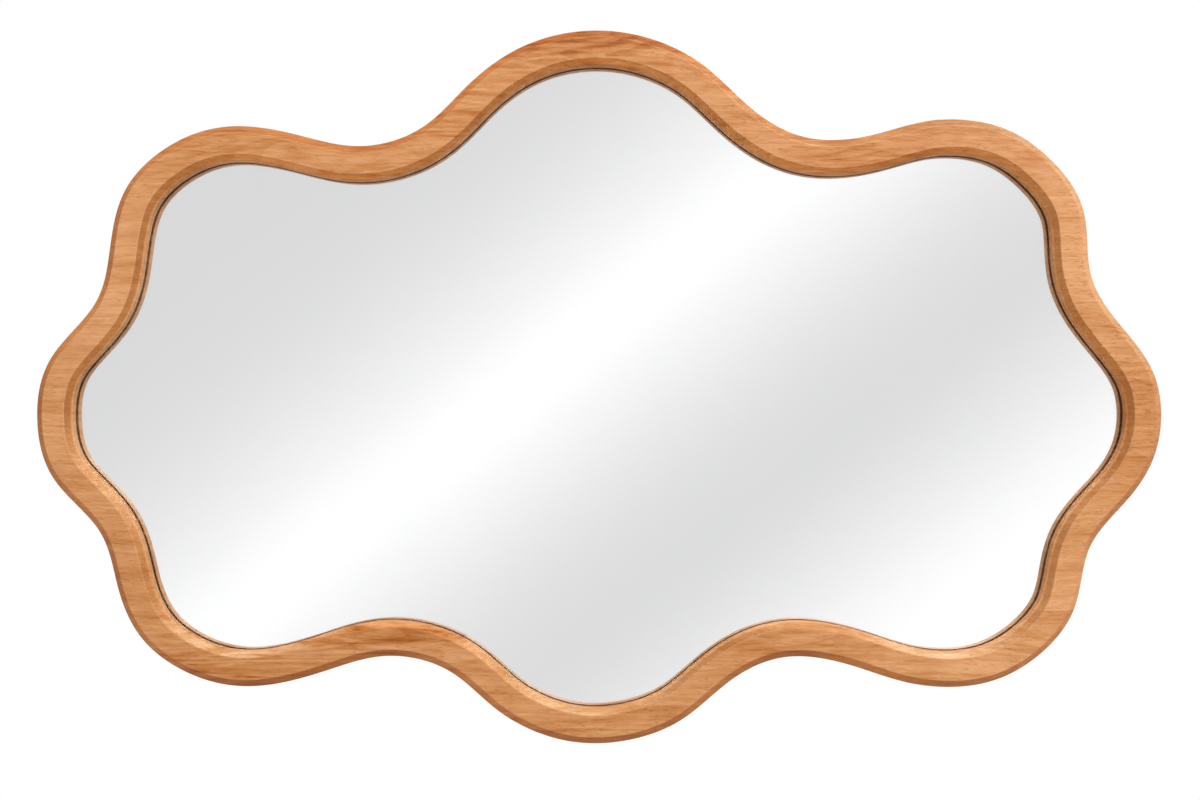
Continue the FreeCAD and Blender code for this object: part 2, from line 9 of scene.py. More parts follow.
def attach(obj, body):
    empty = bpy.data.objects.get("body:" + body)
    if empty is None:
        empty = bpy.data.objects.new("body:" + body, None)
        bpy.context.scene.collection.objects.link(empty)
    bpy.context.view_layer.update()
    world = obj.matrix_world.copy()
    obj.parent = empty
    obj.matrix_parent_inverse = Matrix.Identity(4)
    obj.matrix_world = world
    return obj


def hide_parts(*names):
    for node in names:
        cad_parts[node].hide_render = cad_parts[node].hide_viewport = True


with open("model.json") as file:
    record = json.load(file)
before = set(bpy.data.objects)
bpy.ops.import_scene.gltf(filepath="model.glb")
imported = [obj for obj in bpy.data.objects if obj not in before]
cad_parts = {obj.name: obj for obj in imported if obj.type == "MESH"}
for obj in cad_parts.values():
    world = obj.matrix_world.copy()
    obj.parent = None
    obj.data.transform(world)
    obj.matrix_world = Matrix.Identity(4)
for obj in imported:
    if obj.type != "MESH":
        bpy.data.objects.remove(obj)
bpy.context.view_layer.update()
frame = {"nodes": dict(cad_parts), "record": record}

# Row frame: origin on the wall plane between the two D-ring pivots. The outline
# below is given about its own centre, in millimetres, with the back face of the
# wood at depth 0; place() turns it into the row frame, in metres.
DROP, GAP = 146.0, 6.0


def place(x, depth, z):
    return (x / 1000.0, (depth - GAP) / 1000.0, (z - DROP) / 1000.0)


# Control polygon of the frame's outer outline, closed uniform cubic.
OUTLINE = [
    (174.0, 208.9), (127.4, 238.5), (91.2, 279.8), (39.1, 303.4),
    (-15.2, 308.4), (-69.9, 293.9), (-114.2, 260.3), (-148.5, 217.8),
    (-206.7, 201.2), (-257.5, 217.0), (-313.8, 227.9), (-365.1, 213.5),
    (-411.9, 173.2), (-419.9, 117.5), (-425.9, 68.4), (-477.0, 27.4),
    (-485.1, -27.4), (-474.1, -82.6), (-421.6, -120.4), (-415.0, -172.1),
    (-394.7, -222.2), (-341.3, -254.3), (-289.4, -259.8), (-233.9, -244.3),
    (-184.2, -225.6), (-124.5, -239.1), (-90.2, -280.1), (-36.9, -305.4),
    (15.7, -307.7), (72.3, -290.6), (109.9, -250.0), (159.2, -225.8),
    (218.0, -237.6), (265.3, -257.3), (325.8, -259.4), (372.4, -238.6),
    (414.5, -193.5), (413.3, -134.9), (457.2, -96.5), (483.9, -52.8),
    (483.2, 11.4), (447.8, 51.5), (415.0, 94.1), (423.0, 154.5),
    (384.9, 201.5), (342.8, 228.4), (281.0, 232.2), (233.3, 212.9),
]
K = len(OUTLINE)


def station(t):
    """Point, unit tangent and inward normal of the outline at parameter t."""
    j, f = int(math.floor(t)), t - math.floor(t)
    w = ((1 - f) ** 3 / 6, (3 * f ** 3 - 6 * f ** 2 + 4) / 6,
         (-3 * f ** 3 + 3 * f ** 2 + 3 * f + 1) / 6, f ** 3 / 6)
    v = (-(1 - f) ** 2 / 2, (3 * f ** 2 - 4 * f) / 2,
         (-3 * f ** 2 + 2 * f + 1) / 2, f ** 2 / 2)
    px = pz = dx = dz = 0.0
    for k in range(4):
        cx, cz = OUTLINE[(j + k - 1) % K]
        px, pz, dx, dz = px + w[k] * cx, pz + w[k] * cz, dx + v[k] * cx, dz + v[k] * cz
    s = math.hypot(dx, dz)
    return px, pz, dx / s, dz / s, -dz / s, dx / s


def stations(count):
    return [station(K * i / count) for i in range(count)]


# ------------------------------------------------------------------ node tools
def new_material(name):
    m = bpy.data.materials.new(name)
    m.use_nodes = True
    nt = m.node_tree
    nt.nodes.clear()
    out = nt.nodes.new("ShaderNodeOutputMaterial")
    bsdf = nt.nodes.new("ShaderNodeBsdfPrincipled")
    nt.links.new(bsdf.outputs[0], out.inputs[0])
    return m, nt, bsdf


def put(nt, node, key, value):
    sock = node.inputs[key]
    if isinstance(value, bpy.types.NodeSocket):
        nt.links.new(value, sock)
    else:
        sock.default_value = value


def add(nt, kind, values=None, **props):
    n = nt.nodes.new(kind)
    for k, v in props.items():
        setattr(n, k, v)
    for k, v in (values or {}).items():
        put(nt, n, k, v)
    return n


def math_node(nt, op, a, b=0.0, c=0.0, clamp=False):
    n = nt.nodes.new("ShaderNodeMath")
    n.operation = op
    n.use_clamp = clamp
    put(nt, n, 0, a)
    put(nt, n, 1, b)
    put(nt, n, 2, c)
    return n.outputs[0]


def remap(nt, value, a, b, lo=0.0, hi=1.0, smooth=False):
    n = nt.nodes.new("ShaderNodeMapRange")
    n.interpolation_type = "SMOOTHSTEP" if smooth else "LINEAR"
    for k, v in zip(("Value", "From Min", "From Max", "To Min", "To Max"), (value, a, b, lo, hi)):
        put(nt, n, k, v)
    return n.outputs[0]


def mix_colour(nt, factor, a, b, kind="MIX", clamp=True):
    n = nt.nodes.new("ShaderNodeMix")
    n.clamp_factor = clamp
    n.data_type = "RGBA"
    n.blend_type = kind
    put(nt, n, 0, factor)
    put(nt, n, 6, a)
    put(nt, n, 7, b)
    return n.outputs[2]


def scaled(nt, vector, scale, offset=(0, 0, 0)):
    n = nt.nodes.new("ShaderNodeMapping")
    n.vector_type = "POINT"
    put(nt, n, "Vector", vector)
    put(nt, n, "Scale", scale)
    put(nt, n, "Location", offset)
    return n.outputs[0]


def noise_of(nt, vector, scale=1.0, detail=2.0, rough=0.5, distortion=0.0, out=0):
    n = nt.nodes.new("ShaderNodeTexNoise")
    n.noise_dimensions = "3D"
    put(nt, n, "Vector", vector)
    put(nt, n, "Scale", scale)
    put(nt, n, "Detail", detail)
    put(nt, n, "Roughness", rough)
    put(nt, n, "Distortion", distortion)
    return n.outputs[out]


def ramp(nt, value, stops, mode="LINEAR"):
    n = nt.nodes.new("ShaderNodeValToRGB")
    n.color_ramp.interpolation = mode
    e = n.color_ramp.elements
    while len(e) > 1:
        e.remove(e[-1])
    for i, (p, c) in enumerate(stops):
        item = e[0] if i == 0 else e.new(p)
        item.position = p
        item.color = c if len(c) == 4 else (*c, 1.0)
    put(nt, n, 0, value)
    return n.outputs[0]


def srgb(r, g, b, scale=1.0):
    out = []
    for c in (r, g, b):
        c /= 255.0
        out.append((c / 12.92 if c <= 0.04045 else ((c + 0.055) / 1.055) ** 2.4) * scale)
    return (*out, 1.0)


# --------------------------------------------------------------------- wood
# Light that falls on a face turned to the camera, and the sheen it adds; the
# colours wanted in the picture are turned into the wood's own by the two.
LIT, SHEEN = 2.0, 0.012


def wood_colour(r, g, b, scale=1.0):
    return (*(max(0.004, (c - SHEEN) * scale / LIT) for c in srgb(r, g, b)[:3]), 1.0)


def wood_material(name="frame_wood", scale=1.0):
    m, nt, bsdf = new_material(name)
    geo = add(nt, "ShaderNodeTexCoord").outputs["Object"]
    tone = add(nt, "ShaderNodeAttribute", attribute_name="tone").outputs["Fac"]
    figure = add(nt, "ShaderNodeAttribute", attribute_name="figure").outputs["Fac"]
    flecky = add(nt, "ShaderNodeAttribute", attribute_name="fleck").outputs["Fac"]
    edge = add(nt, "ShaderNodeAttribute", attribute_name="edge").outputs["Fac"]
    stave = add(nt, "ShaderNodeAttribute", attribute_name="stave").outputs["Fac"]
    slope = add(nt, "ShaderNodeAttribute", attribute_name="slope").outputs["Fac"]
    oil_tone_and_painted_shade = add(nt, "ShaderNodeAttribute", attribute_name="oil_tone_and_painted_shade").outputs["Fac"]

    # grain runs along X; each board has its own offset and a slight slope, and
    # slow noise bends the lines
    xyz = add(nt, "ShaderNodeSeparateXYZ", {0: geo})
    bend = noise_of(nt, scaled(nt, geo, (4.0, 6.0, 9.0)), 1.0, 1.0, 0.4)
    bend = math_node(nt, "MULTIPLY", math_node(nt, "SUBTRACT", bend, 0.5), 0.016)
    ripple = noise_of(nt, scaled(nt, geo, (26.0, 10.0, 30.0)), 1.0, 1.0, 0.4)
    ripple = math_node(nt, "MULTIPLY", math_node(nt, "SUBTRACT", ripple, 0.5), 0.0028)
    lean = math_node(nt, "MULTIPLY", xyz.outputs[0], slope)
    z = math_node(nt, "ADD", xyz.outputs[2], math_node(nt, "ADD", lean, math_node(nt, "ADD", bend, ripple)))
    y = math_node(nt, "ADD", xyz.outputs[1], stave)
    p = add(nt, "ShaderNodeCombineXYZ", {0: xyz.outputs[0], 1: y, 2: z}).outputs[0]

    # growth rings cut lengthwise: level lines of a slow field, long lenses
    field = noise_of(nt, scaled(nt, p, (4.0, 9.0, 26.0), (0.31, 0.0, 0.7)), 1.0, 1.5, 0.4)
    rings = math_node(nt, "FRACT", math_node(nt, "MULTIPLY", field, 17.0))
    late = remap(nt, rings, 0.25, 0.92, 0.0, 1.0, True)
    late = math_node(nt, "MULTIPLY", late, remap(nt, rings, 0.92, 1.0, 1.0, 0.0))
    lens = noise_of(nt, scaled(nt, p, (26.0, 60.0, 190.0), (0.0, 0.0, 3.1)), 1.0, 2.0, 0.5, 0.4)
    lens = remap(nt, lens, 0.38, 0.64, -0.5, 0.5, True)
    # long fibres at three widths
    streak_a = noise_of(nt, scaled(nt, p, (11.0, 60.0, 240.0)), 1.0, 3.0, 0.6)
    streak_b = noise_of(nt, scaled(nt, p, (40.0, 160.0, 520.0)), 1.0, 3.0, 0.65)
    streak_c = noise_of(nt, scaled(nt, p, (90.0, 500.0, 1000.0)), 1.0, 2.0, 0.65)
    # short dark pores and flecks, some places only
    pore = noise_of(nt, scaled(nt, p, (190.0, 700.0, 1000.0)), 1.0, 0.0, 0.5)
    pore = remap(nt, pore, 0.60, 0.74, 0.0, 1.0, True)
    patch = noise_of(nt, scaled(nt, p, (38.0, 60.0, 75.0), (3.0, 1.0, 2.0)), 1.0, 1.0, 0.5)
    patch = remap(nt, patch, 0.42, 0.60, 0.2, 1.0, True)
    dash = noise_of(nt, scaled(nt, p, (130.0, 420.0, 620.0), (5.0, 2.0, 9.0)), 1.0, 0.0, 0.5)
    dash = remap(nt, dash, 0.66, 0.76, 0.0, 1.0, True)
    # broad clouds of tone
    cloud = noise_of(nt, scaled(nt, p, (6.0, 12.0, 30.0), (1.7, 0.3, 0.2)), 1.0, 2.0, 0.5)

    light = wood_colour(233, 173, 122, scale)
    mid = wood_colour(214, 150, 97, scale)
    deep = wood_colour(188, 116, 58, scale)
    deepest = wood_colour(164, 92, 40, scale)
    dark = wood_colour(138, 74, 32, scale)

    f = remap(nt, cloud, 0.3, 0.7, -0.14, 0.14)
    f = math_node(nt, "ADD", f, remap(nt, streak_a, 0.3, 0.7, -0.16, 0.16))
    f = math_node(nt, "ADD", f, remap(nt, streak_b, 0.3, 0.7, -0.15, 0.15))
    f = math_node(nt, "ADD", f, remap(nt, streak_c, 0.3, 0.7, -0.13, 0.13))
    f = math_node(nt, "ADD", f, math_node(nt, "MULTIPLY", late, math_node(nt, "MULTIPLY", figure, 0.22)))
    f = math_node(nt, "ADD", f, math_node(nt, "MULTIPLY", lens, math_node(nt, "MULTIPLY", figure, 0.26)))
    f = math_node(nt, "ADD", f, tone)
    f = math_node(nt, "ADD", f, 0.36)
    base = ramp(nt, f, [(0.0, light), (0.38, mid), (0.80, deep), (1.0, deepest)])
    spots = math_node(nt, "MULTIPLY", math_node(nt, "MULTIPLY", pore, patch), 0.30)
    spots = math_node(nt, "MAXIMUM", spots, math_node(nt, "MULTIPLY", dash, math_node(nt, "MULTIPLY", flecky, 0.42)), 0.0, True)
    base = mix_colour(nt, spots, base, dark)
    # painted light and shade: a brightness factor per vertex, 1 on the flat face, set on the slopes by which way they
    # face
    painted_light_gain = add(nt, "ShaderNodeAttribute", attribute_name="painted_light_gain").outputs["Fac"]
    painted_light_gain = add(nt, "ShaderNodeCombineXYZ", {0: painted_light_gain, 1: painted_light_gain, 2: painted_light_gain}).outputs[0]
    outer = add(nt, "ShaderNodeAttribute", attribute_name="outer").outputs["Fac"]
    # above 1 the slopes are deeper than these colours, below 0 paler than the face; how far each way follows which way
    # the slope faces, so these mixes carry painted light and shade besides the slopes' deeper tone
    base = mix_colour(nt, oil_tone_and_painted_shade, base, (1.12, 0.97, 0.76, 1.0), "MULTIPLY", False)
    base = mix_colour(nt, outer, base, (0.97, 0.74, 0.46, 1.0), "MULTIPLY", False)
    base = mix_colour(nt, 1.0, base, painted_light_gain, "MULTIPLY")
    worn = math_node(nt, "MULTIPLY", edge, 0.06)
    base = mix_colour(nt, worn, base, wood_colour(240, 190, 142, scale))
    put(nt, bsdf, "Base Color", base)
    rough = remap(nt, streak_b, 0.3, 0.7, 0.42, 0.52)
    rough = math_node(nt, "ADD", rough, math_node(nt, "MULTIPLY", spots, 0.2))
    put(nt, bsdf, "Roughness", math_node(nt, "SUBTRACT", rough, math_node(nt, "MULTIPLY", edge, 0.06)))
    bsdf.inputs["Specular IOR Level"].default_value = 0.16
    h = math_node(nt, "SUBTRACT", math_node(nt, "MULTIPLY", streak_b, 0.6), math_node(nt, "MULTIPLY", spots, 0.9))
    h = math_node(nt, "ADD", h, math_node(nt, "MULTIPLY", streak_c, 0.35))
    bump = add(nt, "ShaderNodeBump", {"Height": h, "Strength": 0.5, "Distance": 0.00012})
    put(nt, bsdf, "Normal", bump.outputs[0])
    return m


# Places on the frame (outline centre, mm) where the photograph shows darker or
# paler wood, strong figure, or many short flecks: x, z, half width, half height,
# amount.
TONES = [
    # the dark lens in the upper crest and its paler borders
    (12, 297, 66, 13, 0.44), (-60, 286, 70, 10, 0.18), (40, 282, 60, 4, -0.16),
    (-70, 268, 50, 7, -0.08), (95, 262, 50, 12, 0.06), (140, 236, 50, 18, -0.04),
    # the dark lens in the lower left dip, pale below and on both sides
    (-173, -212, 44, 7.0, 0.20), (-120, -216, 34, 5, 0.07), (-176, -225, 70, 5, -0.14),
    (-240, -228, 36, 12, 0.04), (-105, -238, 26, 6, 0.12), (-60, -262, 40, 16, -0.02),
    # broad changes round the frame
    (-335, 195, 90, 40, 0.04), (-430, 90, 40, 45, -0.22), (-395, 150, 40, 40, -0.08),
    (-460, -90, 34, 16, 0.10), (-474, -20, 30, 40, -0.06), (-417, -180, 40, 24, 0.06),
    (-352, -240, 60, 14, 0.12), (-300, -247, 60, 10, 0.10), (-400, -232, 30, 16, -0.10),
    (335, 205, 110, 45, 0.03), (225, 208, 60, 26, 0.12), (412, 120, 40, 60, -0.25),
    (470, -20, 30, 50, 0.12), (455, -85, 34, 30, 0.04), (372, -235, 80, 50, -0.11),
    (180, -212, 90, 26, 0.02), (0, -290, 120, 32, -0.05), (60, -282, 70, 6, 0.07),
]
FIGURES = [
    (0, 288, 160, 30, 1.1), (-173, -214, 120, 26, 0.9), (-330, -240, 90, 40, 0.9),
    (-335, 200, 90, 40, 0.6), (-205, 190, 60, 26, 0.5), (215, 200, 60, 26, 0.6),
    (330, 205, 100, 40, 0.25), (330, -240, 110, 40, 0.45), (0, -290, 150, 30, 0.55),
    (150, 230, 60, 40, 0.5), (-130, 232, 50, 40, 0.7), (190, -215, 90, 26, 0.6),
]
FLECKS = [
    (468, 0, 50, 120, 1.0), (-468, -20, 50, 110, 0.5), (410, 110, 50, 90, 0.8),
    (330, 215, 90, 30, 0.35), (-400, -160, 40, 60, 0.25), (400, -160, 40, 60, 0.35),
]


def blobs(items, x, z):
    total = 0.0
    for cx, cz, rx, rz, amount in items:
        d = ((x - cx) / rx) ** 2 + ((z - cz) / rz) ** 2
        if d < 6.0:
            total += amount * math.exp(-d)
    return total


# ------------------------------------------------------------- frame moulding
def rounded(points):
    """Closed section with its corners rounded: list of (inset, depth, arris),
    from corners given as (inset, depth, radius). Each flat keeps a support
    point close to both its ends, so that it shades as a flat."""
    out = []
    n = len(points)
    for i in range(n):
        ax, ay, _ = points[i - 1]
        bx, by, r = points[i]
        cx, cy, _ = points[(i + 1) % n]
        ux, uy = ax - bx, ay - by
        vx, vy = cx - bx, cy - by
        lu, lv = math.hypot(ux, uy), math.hypot(vx, vy)
        ux, uy, vx, vy = ux / lu, uy / lu, vx / lv, vy / lv
        half = math.acos(max(-1.0, min(1.0, ux * vx + uy * vy))) / 2
        cut = r / math.tan(half)
        mx, my = ux + vx, uy + vy
        lm = math.hypot(mx, my)
        ox, oy = bx + mx / lm * r / math.sin(half), by + my / lm * r / math.sin(half)
        sx, sy = bx + ux * cut, by + uy * cut
        ex, ey = bx + vx * cut, by + vy * cut
        a0, a1 = math.atan2(sy - oy, sx - ox), math.atan2(ey - oy, ex - ox)
        turn = (a1 - a0 + math.pi) % (2 * math.pi) - math.pi
        steps = max(3, int(abs(turn) / math.radians(14)))
        out.append((bx + ux * (cut + 0.15), by + uy * (cut + 0.15), 0.0))
        for k in range(steps + 1):
            a = a0 + turn * k / steps
            out.append((ox + r * math.cos(a), oy + r * math.sin(a), 1.0))
        out.append((bx + vx * (cut + 0.15), by + vy * (cut + 0.15), 0.0))
        # the face and the bevel carry the figure, so they get points between
        if by < -19.0 and cy < -19.0 and by - cy < 9.0 and bx > 1.0:
            parts = int((lv - cut) / 1.9)
            for k in range(1, parts):
                d = cut + 0.15 + (lv - 2 * cut - 0.3) * k / parts
                out.append((bx + vx * d, by + vy * d, 0.0))
    return out


SECTION = rounded([
    (0.07, -0.03, 0.9), (0.07, -21.2, 1.5), (6.8, -27.97, 1.2), (25.3, -27.97, 0.9),
    (29.8, -19.8, 0.7), (29.8, -11.33, 0.3), (21.85, -11.33, 0.3), (21.85, -0.03, 0.7),
])
ARRIS_AT = [(0.0, -21.2), (6.8, -28.0), (25.3, -28.0), (29.8, -19.8)]
AROUND = stations(K * 24)


def moulding():
    bm = bmesh.new()
    edge = bm.verts.layers.float.new("edge")
    oil_tone_and_painted_shade = bm.verts.layers.float.new("oil_tone_and_painted_shade")
    painted_light_gain = bm.verts.layers.float.new("painted_light_gain")
    outer = bm.verts.layers.float.new("outer")
    rings = []
    for px, pz, _, _, nx, nz in AROUND:
        ring = []
        # parts of the inward normal, and closeness to one of the two lower dips
        right, left, up, down = max(0.0, nx), max(0.0, -nx), max(0.0, nz), max(0.0, -nz)
        dip = math.exp(-((abs(px) - 175.0) / 55.0) ** 2)
        for inset, depth, arris in SECTION:
            v = bm.verts.new(place(px + nx * inset, depth, pz + nz * inset))
            near = min(math.hypot(inset - a, depth - b) for a, b in ARRIS_AT)
            v[edge] = arris if near < 1.6 else 0.0
            # the moulded slopes are deeper in tone than the flat face, partly oil taken deeper and partly painted
            # shade; on top of that each is made paler or darker, and brighter or dimmer, by which way it faces and near
            # the lower dips: painted light and shade
            v[painted_light_gain] = 1.0
            if inset > 29.4 and depth < -11.6:
                v[oil_tone_and_painted_shade] = 0.6 - 0.9 * right - 1.1 * up
                v[painted_light_gain] = 1.2 + 0.08 * right + 0.2 * up + 0.3 * left
            elif inset > 25.6 and depth < -11.6:
                v[oil_tone_and_painted_shade] = 1.1 + 0.4 * down - 2.6 * up + 1.9 * left * up + 1.5 * up * dip
                v[painted_light_gain] = (1.02 + 0.44 * down + 0.54 * up - 0.40 * right - 0.87 * left * up
                           - 0.25 * right * down + 0.3 * right * up
                           - up * dip * (0.28 if px < 0 else 0.46))
            # the outer chamfer's colour and brightness follow which way it faces: painted light and shade, brightest
            # where it faces up and to the right as a painted sheen
            elif inset < 6.6 and depth < -20.5:
                v[outer] = (1.33 * right * right + 1.45 * up * up + 0.22 * left * left + 0.85 * down * down
                            - 0.8 * right * up - 0.3 * right * down + 0.3 * left * up
                            - 1.6 * down * max(0.0, min(1.0, (px - 70.0) / 330.0)))
                v[painted_light_gain] = (1.0 - 0.14 * up - 0.12 * down + 0.14 * left - 0.08 * right
                           + 0.9 * right * up + 0.4 * right * down)
            ring.append(v)
        rings.append(ring)
    m, n = len(rings), len(SECTION)
    for i in range(m):
        a, b = rings[i], rings[(i + 1) % m]
        for k in range(n):
            f = bm.faces.new((a[k], a[(k + 1) % n], b[(k + 1) % n], b[k]))
            f.smooth = True
    bmesh.ops.recalc_face_normals(bm, faces=bm.faces[:])
    return bm


def cut_at(bm, z_mm, keep_above):
    z = (z_mm - DROP) / 1000.0
    res = bmesh.ops.bisect_plane(
        bm, geom=bm.verts[:] + bm.edges[:] + bm.faces[:], dist=1e-7,
        plane_co=(0, 0, z), plane_no=(0, 0, 1),
        clear_inner=keep_above, clear_outer=not keep_above)
    edges = [g for g in res["geom_cut"] if isinstance(g, bmesh.types.BMEdge)]
    return edges


def cap(bm, edges, up):
    before = set(bm.faces)
    bmesh.ops.triangle_fill(bm, use_beauty=True, edges=edges, normal=(0, 0, 1 if up else -1))
    for f in bm.faces:
        if f not in before:
            f.smooth = False
            if (f.normal.z > 0) != up:
                f.normal_flip()
    for e in edges:
        if e.is_valid:
            e.smooth = False


whole = moulding()
wood = wood_material()
JOINTS = [None, 165.0, 88.0, 5.0, -74.0, -135.0, -191.0, None]
BOARDS = [("frame_top_board", 0, 0), ("frame_bottom_board", 6, 0)]
for k in range(1, 6):
    BOARDS += [("frame_left_board_%d" % k, k, -1), ("frame_right_board_%d" % k, k, 1)]
# board: offset of its grain, tone, slope of its grain
BOARD_LOOK = {
    "frame_top_board": (0.000, 0.00, 0.015), "frame_bottom_board": (0.170, 0.00, 0.03),
    "frame_left_board_1": (0.310, -0.02, -0.06), "frame_right_board_1": (0.450, 0.03, 0.03),
    "frame_left_board_2": (0.610, -0.04, 0.02), "frame_right_board_2": (0.730, 0.02, 0.00),
    "frame_left_board_3": (0.880, 0.01, 0.03), "frame_right_board_3": (0.990, 0.03, 0.01),
    "frame_left_board_4": (1.130, 0.06, 0.06), "frame_right_board_4": (1.290, -0.02, -0.04),
    "frame_left_board_5": (1.410, 0.00, 0.08), "frame_right_board_5": (1.570, -0.06, -0.05),
}
for label, k, side in BOARDS:
    bm = whole.copy()
    if side:
        gone = [v for v in bm.verts if v.co.x * side < 0]
        bmesh.ops.delete(bm, geom=gone, context="VERTS")
    if JOINTS[k] is not None:
        cap(bm, cut_at(bm, JOINTS[k], False), True)
    if JOINTS[k + 1] is not None:
        cap(bm, cut_at(bm, JOINTS[k + 1], True), False)
    offset, tone, lean = BOARD_LOOK[label]
    layers = {w: bm.verts.layers.float.new(w) for w in ("tone", "figure", "fleck", "stave", "slope")}
    for v in bm.verts:
        x, z = v.co.x * 1000.0, v.co.z * 1000.0 + DROP
        v[layers["tone"]] = tone + blobs(TONES, x, z)
        v[layers["figure"]] = min(1.2, 0.14 + blobs(FIGURES, x, z))
        v[layers["fleck"]] = min(1.0, blobs(FLECKS, x, z))
        v[layers["stave"]] = offset
        v[layers["slope"]] = lean
    me = bpy.data.meshes.new(label + "_wood")
    bm.to_mesh(me)
    bm.free()
    me.materials.append(wood)
    piece = bpy.data.objects.new(label + "_wood", me)
    bpy.context.scene.collection.objects.link(piece)
    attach(piece, "frame")
    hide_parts(label)
whole.free()


# ---------------------------------------------------------------- mirror glass
def glass_material():
    m, nt, bsdf = new_material("mirror_glass_clear")
    geo = add(nt, "ShaderNodeTexCoord").outputs["Object"]
    haze = noise_of(nt, scaled(nt, geo, (3.0, 3.0, 3.0)), 1.0, 2.0, 0.5)
    tint = mix_colour(nt, remap(nt, haze, 0.3, 0.7), (0.985, 0.992, 0.988, 1), (0.990, 0.995, 0.992, 1))
    put(nt, bsdf, "Base Color", tint)
    bsdf.inputs["Roughness"].default_value = 0.0
    bsdf.inputs["IOR"].default_value = 1.52
    bsdf.inputs["Transmission Weight"].default_value = 1.0
    return m


def silver_material():
    m, nt, bsdf = new_material("mirror_silver")
    geo = add(nt, "ShaderNodeTexCoord").outputs["Object"]
    mottle = noise_of(nt, scaled(nt, geo, (7.0, 7.0, 7.0)), 1.0, 3.0, 0.5)
    put(nt, bsdf, "Base Color", mix_colour(nt, remap(nt, mottle, 0.3, 0.7), (0.948, 0.952, 0.950, 1), (0.956, 0.958, 0.956, 1)))
    bsdf.inputs["Metallic"].default_value = 1.0
    bsdf.inputs["Roughness"].default_value = 0.0
    return m


def glass_plate():
    """Plate of glass with seamed edges; its back face carries the silver."""
    bm = bmesh.new()
    around = stations(K * 14)
    rings = []
    for inset, depth in ((24.3, -11.3), (23.8, -10.8), (23.8, -7.8), (24.3, -7.32)):
        rings.append([bm.verts.new(place(px + nx * inset, depth, pz + nz * inset))
                      for px, pz, _, _, nx, nz in around])
    n = len(around)
    for a, b in zip(rings, rings[1:]):
        for k in range(n):
            bm.faces.new((a[k], a[(k + 1) % n], b[(k + 1) % n], b[k]))
    bm.faces.new(rings[0])
    back = bm.faces.new(rings[-1])
    back.material_index = 1
    bmesh.ops.recalc_face_normals(bm, faces=bm.faces[:])
    bmesh.ops.triangulate(bm, faces=[f for f in bm.faces if len(f.verts) > 4], ngon_method="EAR_CLIP")
    me = bpy.data.meshes.new("mirror_glass_silvered")
    bm.to_mesh(me)
    bm.free()
    me.materials.append(glass_material())
    me.materials.append(silver_material())
    piece = bpy.data.objects.new("mirror_glass_silvered", me)
    bpy.context.scene.collection.objects.link(piece)
    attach(piece, "frame")
    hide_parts("mirror_glass")


glass_plate()


# ------------------------------------------------------- materials of the rest
def fibreboard():
    m, nt, bsdf = new_material("fibreboard_brown")
    geo = add(nt, "ShaderNodeTexCoord").outputs["Object"]
    fine = noise_of(nt, scaled(nt, geo, (900.0, 900.0, 900.0)), 1.0, 3.0, 0.7)
    fibre = noise_of(nt, scaled(nt, geo, (260.0, 400.0, 420.0)), 1.0, 4.0, 0.65, 1.5)
    cloud = noise_of(nt, scaled(nt, geo, (9.0, 9.0, 12.0)), 1.0, 3.0, 0.5)
    f = math_node(nt, "ADD", remap(nt, fine, 0.3, 0.7, -0.16, 0.16), remap(nt, fibre, 0.3, 0.7, -0.22, 0.22))
    f = math_node(nt, "ADD", f, remap(nt, cloud, 0.3, 0.7, 0.35, 0.65))
    put(nt, bsdf, "Base Color", ramp(nt, f, [(0.0, srgb(104, 72, 46)), (0.5, srgb(138, 98, 64)), (1.0, srgb(168, 126, 88))]))
    put(nt, bsdf, "Roughness", remap(nt, fibre, 0.3, 0.7, 0.55, 0.72))
    bump = add(nt, "ShaderNodeBump", {"Height": math_node(nt, "ADD", fibre, fine), "Strength": 0.35, "Distance": 0.0001})
    put(nt, bsdf, "Normal", bump.outputs[0])
    return m


def steel(name, low, high, rough, grain=(300.0, 300.0, 300.0), spangle=0.0, metallic=1.0):
    m, nt, bsdf = new_material(name)
    geo = add(nt, "ShaderNodeTexCoord").outputs["Object"]
    cloud = noise_of(nt, scaled(nt, geo, (160.0, 160.0, 160.0)), 1.0, 3.0, 0.55)
    lines = noise_of(nt, scaled(nt, geo, grain), 1.0, 3.0, 0.6)
    f = math_node(nt, "ADD", remap(nt, cloud, 0.3, 0.7, 0.2, 0.8), remap(nt, lines, 0.3, 0.7, -0.2, 0.2))
    if spangle:
        cells = add(nt, "ShaderNodeTexVoronoi", {"Vector": geo, "Scale": 380.0})
        f = math_node(nt, "ADD", f, remap(nt, cells.outputs["Color"], 0.0, 1.0, -spangle, spangle))
    put(nt, bsdf, "Base Color", mix_colour(nt, f, low, high))
    bsdf.inputs["Metallic"].default_value = metallic
    put(nt, bsdf, "Roughness", remap(nt, math_node(nt, "ADD", cloud, lines), 0.6, 1.4, rough - 0.07, rough + 0.09))
    bump = add(nt, "ShaderNodeBump", {"Height": lines, "Strength": 0.25, "Distance": 0.00004})
    put(nt, bsdf, "Normal", bump.outputs[0])
    return m


def speckled(name, low, high, rough, scale=1500.0, depth=0.00006, spread=0.15):
    m, nt, bsdf = new_material(name)
    geo = add(nt, "ShaderNodeTexCoord").outputs["Object"]
    fine = noise_of(nt, geo, scale, 3.0, 0.6)
    cloud = noise_of(nt, geo, scale / 12.0, 2.0, 0.5)
    f = math_node(nt, "ADD", remap(nt, fine, 0.3, 0.7, 0.5 - spread, 0.5 + spread), remap(nt, cloud, 0.3, 0.7, -0.3, 0.3))
    put(nt, bsdf, "Base Color", mix_colour(nt, f, low, high))
    put(nt, bsdf, "Roughness", remap(nt, fine, 0.3, 0.7, rough - 0.06, rough + 0.06))
    bump = add(nt, "ShaderNodeBump", {"Height": fine, "Strength": 0.4, "Distance": depth})
    put(nt, bsdf, "Normal", bump.outputs[0])
    return m


